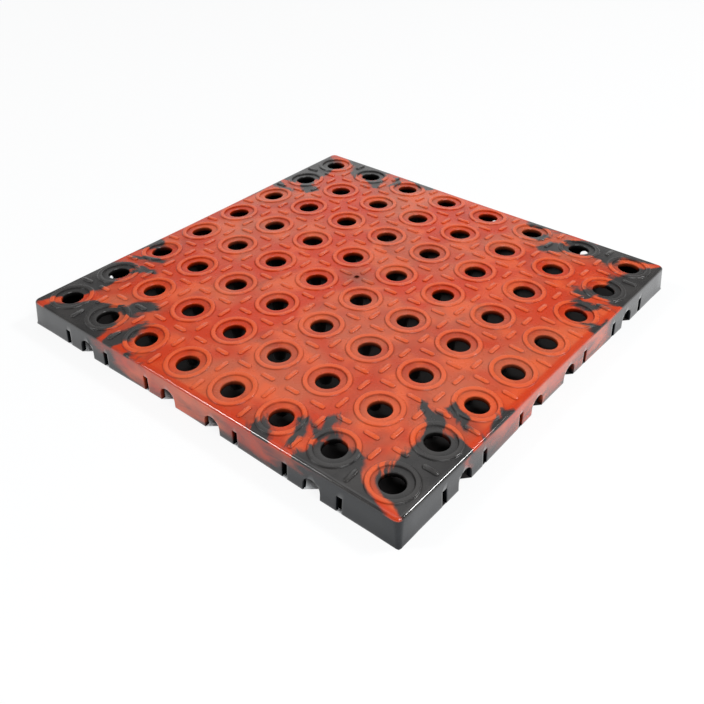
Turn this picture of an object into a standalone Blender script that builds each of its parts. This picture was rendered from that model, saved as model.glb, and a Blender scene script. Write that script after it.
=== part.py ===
"""Square anti-fatigue drain mat: a crowned deck of drain holes on a skirt and rows of feet.

Metres, +Z up. The origin is on the floor under the middle of the mat. -Y is the front side.
"""
import math

import bmesh
import bpy

# Drain holes, each in a recess inside a raised collar
HOLES_PER_SIDE = 8
HOLE_DIAMETER = 0.0186
RECESS_WIDTH = 0.0056
COLLAR_WIDTH = 0.0041
COLLAR_SPACING = 0.012
COLLAR_HEIGHT = 0.001
COLLAR_DRAFT = 0.0003
RECESS_DEPTH = 0.0004
POINTS_PER_CELL_SIDE = 3

# Deck plate, level in the middle and falling to its edge
DECK_THICKNESS = 0.0045
EDGE_LAND = 0.004
EDGE_HEIGHT = 0.024
CROWN_RISE = 0.0058
CROWN_POWER = 3.7
CORNER_RADIUS = 0.006
CORNER_STEPS = 4

# Skirt walls, with slots on the lines between holes and arches on the lines of holes
SIDE_DRAFT = 0.002
WALL_THICKNESS = 0.004
CORNER_FLAT = 0.008
CUT_HEAD = 0.0053
SLOT_WIDTH = 0.005
ARCH_WIDTH = 0.0162
ARCH_HOLES_FROM_CORNER = (2, 4)
ARCH_STEPS = 8

# Space left between neighbouring members
PARTING_GAP = 0.0003

# Sizes that follow from those above
COLLAR_INNER_DIAMETER = HOLE_DIAMETER + 2 * RECESS_WIDTH
COLLAR_OUTER_DIAMETER = COLLAR_INNER_DIAMETER + 2 * COLLAR_WIDTH
HOLE_PITCH = COLLAR_OUTER_DIAMETER + COLLAR_SPACING
TOP_SIDE = (HOLES_PER_SIDE - 1) * HOLE_PITCH + COLLAR_OUTER_DIAMETER + 2 * EDGE_LAND
CORNER_LEG = CORNER_RADIUS + CORNER_FLAT

# Feet under the deck, one at each crossing of the lines between holes
FOOT_TOP_DIAMETER = 0.014
FOOT_FLOOR_DIAMETER = 0.011
FOOT_SIDES = 10

# Colours as linear values, with the moulding's satin finish
RED_COMPOUND = (0.62, 0.085, 0.035, 1.0)
MARBLED_COMPOUND = (0.16, 0.115, 0.11, 1.0)
CHARCOAL_COMPOUND = (0.045, 0.045, 0.047, 1.0)
SATIN_ROUGHNESS = 0.38

WELD_DISTANCE = 0.00001
ROUND_PROFILE = 0.5
SMOOTH_ANGLE = math.radians(30)


def clear_scene():
    """Remove the objects that a new scene starts with."""
    for item in list(bpy.data.objects):
        bpy.data.objects.remove(item, do_unlink=True)


def make_collection(name):
    """Return a new collection in the scene."""
    collection = bpy.data.collections.new(name)
    bpy.context.scene.collection.children.link(collection)
    return collection


def make_material(name, colour):
    """Return a satin moulded material."""
    material = bpy.data.materials.new(name)
    material.use_nodes = True
    shader = material.node_tree.nodes["Principled BSDF"]
    shader.inputs["Base Color"].default_value = colour
    shader.inputs["Roughness"].default_value = SATIN_ROUGHNESS
    shader.inputs["Metallic"].default_value = 0.0
    return material


def add_object(name, mesh, material, collection):
    """Link a mesh as a named sub-part, shaded smooth with its hard edges kept."""
    mesh.materials.clear()
    mesh.materials.append(material)
    mesh.shade_smooth()
    mesh.set_sharp_from_angle(angle=SMOOTH_ANGLE)
    item = bpy.data.objects.new(name, mesh)
    collection.objects.link(item)
    return item


def draft_at(height):
    """How far the side leans out of the top outline at a height over the floor."""
    return SIDE_DRAFT * (EDGE_HEIGHT - height) / EDGE_HEIGHT


def crown_at(x, y):
    """Rise of the deck over its own edge at a place in plan."""
    half = TOP_SIDE / 2
    across = max(0.0, 1 - abs(x / half) ** CROWN_POWER)
    along = max(0.0, 1 - abs(y / half) ** CROWN_POWER)
    return CROWN_RISE * across * along


def line_place(line):
    """Distance from the mat's middle of a line that is counted in hole pitches."""
    return line * HOLE_PITCH


def cell_edges(index, half_side):
    """Low and high limits of a cell along one axis; the outer cells end at the deck's side."""
    low = line_place(index - HOLES_PER_SIDE / 2)
    high = low + HOLE_PITCH
    if index == 0:
        low = -half_side
    if index == HOLES_PER_SIDE - 1:
        high = half_side
    return low, high


def cell_outline(column, row, height):
    """Points round a cell at one height, anticlockwise from its right front corner."""
    half_side = TOP_SIDE / 2 + draft_at(height)
    left, right = cell_edges(column, half_side)
    front, back = cell_edges(row, half_side)
    corners = [(right, front), (right, back), (left, back), (left, front)]
    points = []
    for number, start in enumerate(corners):
        end = corners[(number + 1) % len(corners)]
        for step in range(POINTS_PER_CELL_SIDE):
            share = step / POINTS_PER_CELL_SIDE
            x = start[0] + (end[0] - start[0]) * share
            y = start[1] + (end[1] - start[1]) * share
            points.append((x, y, height))
    return points


def hole_outline(column, row, radius, height):
    """Points round a hole that match those of its cell's outline."""
    centre_x = line_place(column - (HOLES_PER_SIDE - 1) / 2)
    centre_y = line_place(row - (HOLES_PER_SIDE - 1) / 2)
    count = 4 * POINTS_PER_CELL_SIDE
    points = []
    for number in range(count):
        angle = 2 * math.pi * number / count - math.pi / 4
        x = centre_x + radius * math.cos(angle)
        y = centre_y + radius * math.sin(angle)
        points.append((x, y, height))
    return points


def loft(mesh, outlines):
    """Join outlines of equal point count, such as a square cell and its round collar, by quads."""
    rings = [[mesh.verts.new(point) for point in outline] for outline in outlines]
    for outer, inner in zip(rings, rings[1:]):
        count = len(outer)
        for number in range(count):
            following = (number + 1) % count
            mesh.faces.new((outer[number], outer[following], inner[following], inner[number]))


def make_deck():
    """One crowned plate with a raised collar and a recess round each drain hole."""
    top = EDGE_HEIGHT
    underside = top - DECK_THICKNESS
    collar_top = top + COLLAR_HEIGHT
    recess = top - RECESS_DEPTH
    outer = COLLAR_OUTER_DIAMETER / 2
    inner = COLLAR_INNER_DIAMETER / 2
    hole = HOLE_DIAMETER / 2
    mesh = bmesh.new()
    for column in range(HOLES_PER_SIDE):
        for row in range(HOLES_PER_SIDE):
            loft(mesh, [
                cell_outline(column, row, top),
                hole_outline(column, row, outer, top),
                hole_outline(column, row, outer - COLLAR_DRAFT, collar_top),
                hole_outline(column, row, inner, collar_top),
                hole_outline(column, row, inner - COLLAR_DRAFT, recess),
                hole_outline(column, row, hole, recess),
                hole_outline(column, row, hole, underside),
                cell_outline(column, row, underside),
            ])
    bmesh.ops.remove_doubles(mesh, verts=mesh.verts, dist=WELD_DISTANCE)
    rim = [edge for edge in mesh.edges if edge.is_boundary]
    bmesh.ops.bridge_loops(mesh, edges=rim)
    corner = TOP_SIDE / 2 - WELD_DISTANCE
    corner_edges = [
        edge for edge in mesh.edges
        if all(abs(vert.co.x) > corner and abs(vert.co.y) > corner for vert in edge.verts)
    ]
    bmesh.ops.bevel(
        mesh, geom=corner_edges, offset=CORNER_RADIUS, segments=CORNER_STEPS,
        profile=ROUND_PROFILE, affect="EDGES", clamp_overlap=True,
    )
    for vert in mesh.verts:
        vert.co.z += crown_at(vert.co.x, vert.co.y)
    bmesh.ops.recalc_face_normals(mesh, faces=mesh.faces)
    return finish_mesh("deck", mesh)


def finish_mesh(name, mesh):
    """Turn an edit mesh into mesh data."""
    data = bpy.data.meshes.new(name)
    mesh.to_mesh(data)
    mesh.free()
    return data


def extrude_outline(name, points, depth):
    """Closed solid of a flat outline in X and Y, half its depth each way in Z."""
    curve = bpy.data.curves.new(name, "CURVE")
    curve.dimensions = "2D"
    curve.fill_mode = "BOTH"
    curve.extrude = depth / 2
    spline = curve.splines.new("POLY")
    spline.points.add(len(points) - 1)
    for point, (x, y) in zip(spline.points, points):
        point.co = (x, y, 0.0, 1.0)
    spline.use_cyclic_u = True
    item = bpy.data.objects.new(name, curve)
    bpy.context.scene.collection.objects.link(item)
    bpy.context.view_layer.update()
    evaluated = item.evaluated_get(bpy.context.evaluated_depsgraph_get())
    data = bpy.data.meshes.new_from_object(evaluated)
    bpy.data.objects.remove(item, do_unlink=True)
    bpy.data.curves.remove(curve)
    mesh = bmesh.new()
    mesh.from_mesh(data)
    bpy.data.meshes.remove(data)
    bmesh.ops.remove_doubles(mesh, verts=mesh.verts, dist=WELD_DISTANCE)
    bmesh.ops.recalc_face_normals(mesh, faces=mesh.faces)
    return mesh


def wall_length():
    """Length of a skirt wall between its two corner posts."""
    return TOP_SIDE - 2 * CORNER_LEG - 2 * PARTING_GAP


def skirt_height():
    """Height of the skirt under the deck plate."""
    return EDGE_HEIGHT - DECK_THICKNESS - PARTING_GAP


def slot_lines():
    """Lines between holes that have a slot: all but the middle one."""
    lines = [number + 1 - HOLES_PER_SIDE / 2 for number in range(HOLES_PER_SIDE - 1)]
    return [line for line in lines if line != 0]


def arch_lines():
    """Lines of holes that have an arch, the same from both corners."""
    last = (HOLES_PER_SIDE - 1) / 2
    lines = {last + 1 - number for number in ARCH_HOLES_FROM_CORNER}
    return sorted(lines | {-line for line in lines})


def slot_cut(line):
    """Points of one square-topped slot in the wall's lower edge."""
    middle = line_place(line)
    low = middle - SLOT_WIDTH / 2
    high = middle + SLOT_WIDTH / 2
    head = skirt_height() - CUT_HEAD
    return [(low, 0.0), (low, head), (high, head), (high, 0.0)]


def arch_cut(line):
    """Points of one round-topped arch in the wall's lower edge."""
    middle = line_place(line)
    half = ARCH_WIDTH / 2
    head = skirt_height() - CUT_HEAD
    rise = min(half, head)
    points = [(middle - half, 0.0)] if head > rise else []
    for step in range(ARCH_STEPS + 1):
        angle = math.pi * (1 - step / ARCH_STEPS)
        points.append((middle + half * math.cos(angle), head - rise + rise * math.sin(angle)))
    if head > rise:
        points.append((middle + half, 0.0))
    return points


def make_wall():
    """Front skirt wall: a comb outline, stood up on its lower edge and leaned out to its foot."""
    half = wall_length() / 2
    cuts = [(line, slot_cut) for line in slot_lines()]
    cuts += [(line, arch_cut) for line in arch_lines()]
    outline = [(-half, 0.0)]
    for line, cut in sorted(cuts, key=lambda item: item[0]):
        outline.extend(cut(line))
    outline.extend([(half, 0.0), (half, skirt_height()), (-half, skirt_height())])
    mesh = extrude_outline("skirt", outline, WALL_THICKNESS)
    middle = TOP_SIDE / 2 - WALL_THICKNESS / 2
    for vert in mesh.verts:
        along, height, depth = vert.co
        vert.co = (along, -middle - depth - draft_at(height), height)
    bmesh.ops.recalc_face_normals(mesh, faces=mesh.faces)
    return finish_mesh("skirt", mesh)


def make_corner():
    """Front left corner post: a rounded angle in plan that leans out to its foot."""
    outside = TOP_SIDE / 2
    inside = outside - WALL_THICKNESS
    end = outside - CORNER_LEG
    centre = outside - CORNER_RADIUS
    outline = [(-end, -inside), (-inside, -inside), (-inside, -end), (-outside, -end)]
    for step in range(CORNER_STEPS + 1):
        angle = math.pi + math.pi / 2 * step / CORNER_STEPS
        x = -centre + CORNER_RADIUS * math.cos(angle)
        y = -centre + CORNER_RADIUS * math.sin(angle)
        outline.append((x, y))
    outline.append((-end, -outside))
    mesh = extrude_outline("corner", outline, skirt_height())
    for vert in mesh.verts:
        vert.co.z += skirt_height() / 2
        lean = draft_at(vert.co.z)
        if vert.co.x < -end - WELD_DISTANCE:
            vert.co.x -= lean
        if vert.co.y < -end - WELD_DISTANCE:
            vert.co.y -= lean
    bmesh.ops.recalc_face_normals(mesh, faces=mesh.faces)
    return finish_mesh("corner", mesh)


def foot_seat(x, y):
    """Height of a foot's flat top, just clear of the crowned underside all round it."""
    radius = FOOT_TOP_DIAMETER / 2
    rises = []
    for side in range(FOOT_SIDES):
        angle = 2 * math.pi * side / FOOT_SIDES
        rises.append(crown_at(x + radius * math.cos(angle), y + radius * math.sin(angle)))
    return skirt_height() + min(rises)


def make_foot(name, x, y):
    """One tapered foot from the floor to its seat under the deck."""
    height = foot_seat(x, y)
    mesh = bmesh.new()
    bmesh.ops.create_cone(
        mesh, cap_ends=True, segments=FOOT_SIDES, depth=height,
        radius1=FOOT_FLOOR_DIAMETER / 2, radius2=FOOT_TOP_DIAMETER / 2,
    )
    bmesh.ops.translate(mesh, verts=mesh.verts, vec=(0.0, 0.0, height / 2))
    return finish_mesh(name, mesh)


def add_round_the_mat(mesh, names, material, collection):
    """Place one mesh at each quarter turn, under the names given anticlockwise from the front."""
    for turn, name in enumerate(names):
        item = add_object(name, mesh, material, collection)
        item.rotation_euler = (0.0, 0.0, turn * math.pi / 2)


def add_feet(material, collection):
    """Place a foot at each crossing of the lines between holes."""
    count = HOLES_PER_SIDE - 1
    for row in range(count):
        for column in range(count):
            x = line_place(column - (count - 1) / 2)
            y = line_place(row - (count - 1) / 2)
            name = f"foot_row{row + 1}_col{column + 1}"
            item = add_object(name, make_foot(name, x, y), material, collection)
            item.location = (x, y, 0.0)


def main():
    """Build the mat."""
    clear_scene()
    collection = make_collection("anti_fatigue_mat")
    red = make_material("red_compound", RED_COMPOUND)
    marbled = make_material("marbled_compound", MARBLED_COMPOUND)
    charcoal = make_material("charcoal_compound", CHARCOAL_COMPOUND)
    add_object("deck", make_deck(), red, collection)
    walls = ("skirt_front", "skirt_right", "skirt_back", "skirt_left")
    corners = ("corner_front_left", "corner_front_right", "corner_back_right", "corner_back_left")
    add_round_the_mat(make_wall(), walls, marbled, collection)
    add_round_the_mat(make_corner(), corners, charcoal, collection)
    add_feet(charcoal, collection)
    bpy.context.view_layer.update()


main()
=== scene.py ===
"""Dresses a square drain mat: a marbled moulding with collared drain holes, tread bars and feet.

Metres, +Z up, origin on the floor under the middle of the mat. -Y is the front side.
"""

import logging
import math
from dataclasses import dataclass
from enum import Enum
from typing import Callable, Iterable, Sequence, Union

import bmesh
import bpy
from mathutils import Matrix, Vector


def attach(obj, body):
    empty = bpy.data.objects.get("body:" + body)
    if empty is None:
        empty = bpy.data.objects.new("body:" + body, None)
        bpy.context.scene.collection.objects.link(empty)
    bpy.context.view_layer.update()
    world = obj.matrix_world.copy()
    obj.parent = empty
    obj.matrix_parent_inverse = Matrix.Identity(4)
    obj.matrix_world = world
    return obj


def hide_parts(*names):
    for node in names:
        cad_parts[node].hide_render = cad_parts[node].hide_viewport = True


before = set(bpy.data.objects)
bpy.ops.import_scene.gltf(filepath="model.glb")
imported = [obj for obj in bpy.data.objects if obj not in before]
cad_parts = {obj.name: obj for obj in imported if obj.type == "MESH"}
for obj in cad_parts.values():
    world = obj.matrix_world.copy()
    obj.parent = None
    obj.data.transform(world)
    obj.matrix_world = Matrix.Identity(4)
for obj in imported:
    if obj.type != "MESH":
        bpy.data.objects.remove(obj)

LOG = logging.getLogger("drain_mat")
BODY = "root"
WELD_DISTANCE = 0.00001
PAINTED_LIGHT = "relief"
MIDDLE_OF_NOISE = 0.5
BLACK = (0.0, 0.0, 0.0)

Tree = bpy.types.NodeTree
Socket = bpy.types.NodeSocket
Colour = tuple[float, float, float]
Triple = tuple[float, float, float]
Ring = tuple[float, float]
PaintedLightRing = tuple[float, float, float]
Place = tuple[float, float]
Step = tuple[float, float]


class Slot(Enum):
    """The record's material slots."""

    RED = "red_compound"
    MARBLED = "marbled_compound"
    CHARCOAL = "charcoal_compound"


class Side(Enum):
    """The mat's four sides, each by its quarter turns from the front."""

    FRONT = 0
    RIGHT = 1
    BACK = 2
    LEFT = 3

    @property
    def angle(self) -> float:
        """The side's turn about the upright."""
        return self.value * math.pi / 2


@dataclass(frozen=True)
class Outline:
    """Plan and crown of the mat, shared by every piece."""

    pitch: float = 0.050
    holes: int = 8
    points_per_cell: int = 12
    half_side: float = 0.1980
    middle_half_side: float = 0.1983
    corner_half_side: float = 0.1989
    bow_end: float = 0.75
    corner_radius: float = 0.0055
    corner_taper: float = 0.0022
    least_radius: float = 0.0005
    corner_steps: int = 3
    edge_height: float = 0.0240
    deck_thickness: float = 0.0045
    crown_rise: float = 0.0058
    crown_power: float = 3.7
    lean_at_middle: float = 0.0003
    lean_at_corner: float = 0.0016

    @property
    def cell_half_side(self) -> float:
        """Half the side of the field of whole cells, before its edge is trimmed."""
        return self.pitch * self.holes / 2

    @property
    def underside(self) -> float:
        """Height of the deck's underside at its edge."""
        return self.edge_height - self.deck_thickness

    def side_face(self, along: float, height: float) -> float:
        """Distance of a side's face from the mat's middle.

        Args:
            along: Distance from the middle of the side.
            height: Height over the floor.

        Returns:
            The distance, drawn in at mid-side and largest at the foot of the corners.
        """
        turn = min(1.0, abs(along) / self.half_side / self.bow_end)
        share = turn * turn * (3 - 2 * turn)
        top = self.middle_half_side + (self.corner_half_side - self.middle_half_side) * share
        foot = self.lean_at_middle + (self.lean_at_corner - self.lean_at_middle) * share
        return top + foot * (1 - height / self.edge_height)

    def rim_place(self, place: Place, inset: float, height: float) -> Vector:
        """Moves a point of the square field's edge onto the rounded outline.

        Args:
            place: The point on the square edge.
            inset: Distance inside the leaning outer face.
            height: Height over the floor.

        Returns:
            The point on the outline at that height.
        """
        x, y = place
        along = min(abs(x), abs(y))
        half = self.side_face(along, height) - inset
        taper = self.corner_taper * (1 - height / self.edge_height)
        radius = max(self.corner_radius - taper - inset, self.least_radius)
        straight = half - radius
        step = self.pitch / self.points_per_cell
        from_corner = (self.cell_half_side - along) / step
        if round(from_corner) > self.corner_steps:
            across = (half, along)
        else:
            angle = math.pi / 4 * (1 - from_corner / self.corner_steps)
            across = (straight + radius * math.cos(angle), straight + radius * math.sin(angle))
        if abs(y) > abs(x):
            across = (across[1], across[0])
        return Vector((math.copysign(across[0], x), math.copysign(across[1], y), height))


class Scalar:
    """A number that flows through a node tree, with the usual arithmetic."""

    def __init__(self, tree: Tree, socket: Socket) -> None:
        """Keeps the tree and the socket that the number leaves by."""
        self.tree = tree
        self.socket = socket

    def math(self, operation: str, *others: Union["Scalar", float]) -> "Scalar":
        """Adds one Math node.

        Args:
            operation: The node's operation.
            others: Its further inputs, flowing or fixed.

        Returns:
            The node's result.
        """
        node = self.tree.nodes.new("ShaderNodeMath")
        node.operation = operation
        for place, value in enumerate((self, *others)):
            feed(self.tree, node.inputs[place], value)
        return Scalar(self.tree, node.outputs[0])

    def __add__(self, other: Union["Scalar", float]) -> "Scalar":
        """Sum of two numbers."""
        return self.math("ADD", other)

    def __sub__(self, other: Union["Scalar", float]) -> "Scalar":
        """Difference of two numbers."""
        return self.math("SUBTRACT", other)

    def __mul__(self, other: Union["Scalar", float]) -> "Scalar":
        """Product of two numbers."""
        return self.math("MULTIPLY", other)

    def __truediv__(self, other: Union["Scalar", float]) -> "Scalar":
        """Quotient of two numbers."""
        return self.math("DIVIDE", other)

    def __abs__(self) -> "Scalar":
        """Size of a number without its sign."""
        return self.math("ABSOLUTE")

    def least(self, other: Union["Scalar", float]) -> "Scalar":
        """The smaller of two numbers."""
        return self.math("MINIMUM", other)

    def most(self, other: Union["Scalar", float]) -> "Scalar":
        """The larger of two numbers."""
        return self.math("MAXIMUM", other)

    def rest(self) -> "Scalar":
        """What a share leaves of one."""
        return self * -1.0 + 1.0

    def above(self, limit: float) -> "Scalar":
        """One where the number is over a limit, nothing elsewhere."""
        return self.math("GREATER_THAN", limit)

    def step(self, low: float, high: float, start: float = 0.0, end: float = 1.0) -> "Scalar":
        """Turns a number smoothly from one value to another.

        Args:
            low: Where the turn begins.
            high: Where it ends.
            start: Result below the turn.
            end: Result above it.

        Returns:
            The turned number.
        """
        node = self.tree.nodes.new("ShaderNodeMapRange")
        node.interpolation_type = "SMOOTHSTEP"
        feed(self.tree, node.inputs["Value"], self)
        node.inputs["From Min"].default_value = low
        node.inputs["From Max"].default_value = high
        node.inputs["To Min"].default_value = start
        node.inputs["To Max"].default_value = end
        return Scalar(self.tree, node.outputs["Result"])


Flow = Union[Scalar, Socket, float, Colour]


def feed(tree: Tree, target: Socket, value: Flow) -> None:
    """Links a flowing value to a socket, or sets a fixed one on it.

    Args:
        tree: The tree that the socket is in.
        target: The socket.
        value: What goes into it.
    """
    if isinstance(value, Scalar):
        tree.links.new(value.socket, target)
    elif isinstance(value, Socket):
        tree.links.new(value, target)
    elif isinstance(value, tuple) and target.type == "RGBA":
        target.default_value = (*value, 1.0)
    else:
        target.default_value = value


def split_place(tree: Tree, vector: Socket) -> list[Scalar]:
    """Takes a vector apart.

    Args:
        tree: The tree that it flows through.
        vector: The vector.

    Returns:
        Its three coordinates.
    """
    node = tree.nodes.new("ShaderNodeSeparateXYZ")
    tree.links.new(vector, node.inputs[0])
    return [Scalar(tree, socket) for socket in node.outputs]


def blend(tree: Tree, share: Scalar, first: Flow, second: Flow) -> Socket:
    """Mixes two colours.

    Args:
        tree: The tree that they flow through.
        share: How much of the second one shows.
        first: The colour where the share is nothing.
        second: The colour where it is one.

    Returns:
        The mixed colour.
    """
    node = tree.nodes.new("ShaderNodeMix")
    node.data_type = "RGBA"
    inputs = {socket.identifier: socket for socket in node.inputs}
    outputs = {socket.identifier: socket for socket in node.outputs}
    for name, value in (("Factor_Float", share), ("A_Color", first), ("B_Color", second)):
        feed(tree, inputs[name], value)
    return outputs["Result_Color"]


def in_pitches(tree: Tree, pitch: float) -> Socket:
    """Gives Object coordinates in hole pitches.

    Args:
        tree: The material's tree.
        pitch: Distance from hole to hole.

    Returns:
        The scaled coordinates.
    """
    coordinates = tree.nodes.new("ShaderNodeTexCoord")
    scale = tree.nodes.new("ShaderNodeVectorMath")
    scale.operation = "SCALE"
    scale.inputs["Scale"].default_value = 1 / pitch
    tree.links.new(coordinates.outputs["Object"], scale.inputs[0])
    return scale.outputs[0]


def new_finish(name: str) -> tuple[bpy.types.Material, bpy.types.Node]:
    """Starts a node material.

    Args:
        name: Its name.

    Returns:
        The material and its shader.
    """
    made = bpy.data.materials.new(name)
    made.use_nodes = True
    return made, made.node_tree.nodes["Principled BSDF"]


def linked_object(name: str, data: bpy.types.ID) -> bpy.types.Object:
    """Puts an object into the scene.

    Args:
        name: Its name.
        data: Its mesh, lamp or camera.

    Returns:
        The object.
    """
    item = bpy.data.objects.new(name, data)
    bpy.context.scene.collection.objects.link(item)
    return item


def evaluated_mesh(item: bpy.types.Object) -> bpy.types.Mesh:
    """Applies an object's modifiers.

    Args:
        item: The object, which keeps its own mesh.

    Returns:
        A plain mesh of what the modifiers make.
    """
    bpy.context.view_layer.update()
    graph = bpy.context.evaluated_depsgraph_get()
    return bpy.data.meshes.new_from_object(item.evaluated_get(graph), depsgraph=graph)


def mesh_from(name: str, work: bmesh.types.BMesh) -> bpy.types.Mesh:
    """Turns an edit mesh into mesh data with its faces pointing out.

    Args:
        name: The mesh's name.
        work: The edit mesh, which is freed.

    Returns:
        The mesh data.
    """
    bmesh.ops.recalc_face_normals(work, faces=work.faces)
    mesh = bpy.data.meshes.new(name)
    work.to_mesh(mesh)
    work.free()
    return mesh


def loft(work: bmesh.types.BMesh, rings: Sequence[Sequence[bmesh.types.BMVert]]) -> None:
    """Joins rings of equal point count by quads.

    Args:
        work: The edit mesh.
        rings: The rings, in order.
    """
    for first, second in zip(rings, rings[1:]):
        count = len(first)
        for number in range(count):
            following = (number + 1) % count
            work.faces.new((first[number], first[following], second[following], second[number]))


def lathe(name: str, profile: Sequence[Ring], sides: int) -> bpy.types.Mesh:
    """Turns a profile about the upright, with both ends closed.

    Args:
        name: The mesh's name.
        profile: Radius and height of each ring, in order.
        sides: Points in a ring.

    Returns:
        The turned mesh.
    """
    work = bmesh.new()
    rings = []
    for radius, height in profile:
        ring = []
        for side in range(sides):
            angle = 2 * math.pi * side / sides
            ring.append(work.verts.new((radius * math.cos(angle), radius * math.sin(angle), height)))
        rings.append(ring)
    loft(work, rings)
    work.faces.new(rings[0])
    work.faces.new(rings[-1])
    return mesh_from(name, work)


class GrowTree:
    """A Geometry Nodes tree with named inputs, run once on an object and then taken off."""

    def __init__(self, name: str) -> None:
        """Starts a tree that puts out geometry.

        Args:
            name: The tree's name, and that of what it grows.
        """
        self.name = name
        self.tree = bpy.data.node_groups.new(name, "GeometryNodeTree")
        self.tree.interface.new_socket("Geometry", in_out="OUTPUT", socket_type="NodeSocketGeometry")
        self.entry = self.tree.nodes.new("NodeGroupInput")
        self.values: dict[str, object] = {}

    def socket(self, name: str, kind: str, value: object) -> Socket:
        """Adds a named input.

        Args:
            name: The input's name.
            kind: The socket's type.
            value: What the modifier sets it to.

        Returns:
            The socket inside the tree.
        """
        made = self.tree.interface.new_socket(name, in_out="INPUT", socket_type=kind)
        self.values[made.identifier] = value
        return self.entry.outputs[name]

    def size(self, name: str, value: float) -> Scalar:
        """Adds a named length or number."""
        return Scalar(self.tree, self.socket(name, "NodeSocketFloat", value))

    def count(self, name: str, value: int) -> Socket:
        """Adds a named count."""
        return self.socket(name, "NodeSocketInt", value)

    def shape(self, name: str, item: bpy.types.Object) -> Socket:
        """Adds a named object to repeat, and gives its geometry."""
        source = self.socket(name, "NodeSocketObject", item)
        return self.node("GeometryNodeObjectInfo", Object=source).outputs["Geometry"]

    def node(self, kind: str, **inputs: Flow) -> bpy.types.Node:
        """Adds a node and feeds its inputs.

        Args:
            kind: The node's type.
            inputs: What goes into it, by socket names with underscores for spaces.

        Returns:
            The node.
        """
        made = self.tree.nodes.new(kind)
        for name, value in inputs.items():
            feed(self.tree, made.inputs[name.replace("_", " ")], value)
        return made

    def grid(self, spans: tuple[Flow, Flow], counts: tuple[Flow, Flow]) -> Socket:
        """Lays points in a flat grid about the middle.

        Args:
            spans: Its length along X and along Y.
            counts: Its points along X and along Y.

        Returns:
            The grid.
        """
        made = self.node("GeometryNodeMeshGrid", Size_X=spans[0], Size_Y=spans[1], Vertices_X=counts[0],
                         Vertices_Y=counts[1])
        return made.outputs["Mesh"]

    def scatter(self, points: Socket, shape: Socket, turn: float = 0.0) -> Socket:
        """Puts a shape on every point.

        Args:
            points: The points.
            shape: The shape.
            turn: Its turn about the upright.

        Returns:
            The placed shapes.
        """
        made = self.node("GeometryNodeInstanceOnPoints", Points=points, Instance=shape)
        made.inputs["Rotation"].default_value = (0.0, 0.0, turn)
        return made.outputs["Instances"]

    def realize(self, placed: Socket) -> Socket:
        """Turns placed shapes into plain geometry."""
        return self.node("GeometryNodeRealizeInstances", Geometry=placed).outputs["Geometry"]

    def crown(self, outline: Outline) -> Scalar:
        """Works out the deck's rise over its edge at each point, from named inputs.

        Args:
            outline: The mat's plan and crown.

        Returns:
            The rise.
        """
        half = self.size("Half Side", outline.half_side)
        rise = self.size("Crown Rise", outline.crown_rise)
        power = self.size("Crown Power", outline.crown_power)
        x, y, _ = self.place()
        across, along = ((abs(value) / half).least(1.0).math("POWER", power).rest() for value in (x, y))
        return across * along * rise

    def place(self) -> list[Scalar]:
        """The three coordinates of each point."""
        return split_place(self.tree, self.node("GeometryNodeInputPosition").outputs["Position"])

    def lift(self, geometry: Socket, rise: Scalar) -> Socket:
        """Raises points by a flowing height.

        Args:
            geometry: The points' geometry.
            rise: The height.

        Returns:
            The raised geometry.
        """
        offset = self.node("ShaderNodeCombineXYZ", Z=rise).outputs["Vector"]
        return self.node("GeometryNodeSetPosition", Geometry=geometry, Offset=offset).outputs["Geometry"]

    def grow(self, geometry: Socket, finish: bpy.types.Material) -> bpy.types.Mesh:
        """Ends the tree in its finish and runs it.

        Args:
            geometry: What the tree puts out.
            finish: Its material.

        Returns:
            The result as a plain mesh.
        """
        material = self.socket("Finish", "NodeSocketMaterial", finish)
        dressed = self.node("GeometryNodeSetMaterial", Geometry=geometry, Material=material)
        exit_node = self.tree.nodes.new("NodeGroupOutput")
        self.tree.links.new(dressed.outputs["Geometry"], exit_node.inputs["Geometry"])
        holder = linked_object(self.name, bpy.data.meshes.new(self.name))
        modifier = holder.modifiers.new(self.name, "NODES")
        modifier.node_group = self.tree
        for identifier, value in self.values.items():
            modifier[identifier] = value
        mesh = evaluated_mesh(holder)
        holder.modifiers.remove(modifier)
        bpy.data.objects.remove(holder, do_unlink=True)
        return mesh


def add_piece(name: str, mesh: bpy.types.Mesh, finish: bpy.types.Material,
              nodes: Iterable[str], smooth_angle: float = 40.0) -> bpy.types.Object:
    """Links a finished piece and sets it on the frame.

    Args:
        name: The piece's name.
        mesh: Its mesh, in place.
        finish: Its material.
        nodes: The solids that it stands for.
        smooth_angle: Edges sharper than this stay crisp, in degrees.

    Returns:
        The piece.
    """
    mesh.materials.clear()
    mesh.materials.append(finish)
    mesh.shade_smooth()
    mesh.set_sharp_from_angle(angle=math.radians(smooth_angle))
    piece = linked_object(name, mesh)
    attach(piece, BODY)
    chosen = list(nodes)
    if chosen:
        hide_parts(*chosen)
    LOG.info("%s: %d faces, stands for %d solids", name, len(mesh.polygons), len(chosen))
    return piece


@dataclass(frozen=True)
class Noise:
    """A cloudy noise: its clouds to a pitch, how far they break up, and how much they curl."""

    scale: float
    detail: float
    curl: float = 0.0

    def node(self, tree: Tree, place: Socket) -> bpy.types.Node:
        """Adds the noise to a material.

        Args:
            tree: The material's tree.
            place: Where on the mat, in hole pitches.

        Returns:
            The noise's node.
        """
        made = tree.nodes.new("ShaderNodeTexNoise")
        for name, value in (("Scale", self.scale), ("Detail", self.detail), ("Distortion", self.curl)):
            made.inputs[name].default_value = value
        tree.links.new(place, made.inputs["Vector"])
        return made

    def level(self, tree: Tree, place: Socket) -> Scalar:
        """The noise as a number, mostly near its middle."""
        return Scalar(tree, self.node(tree, place).outputs["Fac"])

    def swing(self, tree: Tree, place: Socket) -> Scalar:
        """The noise as a number round zero."""
        return self.level(tree, place) - MIDDLE_OF_NOISE


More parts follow.
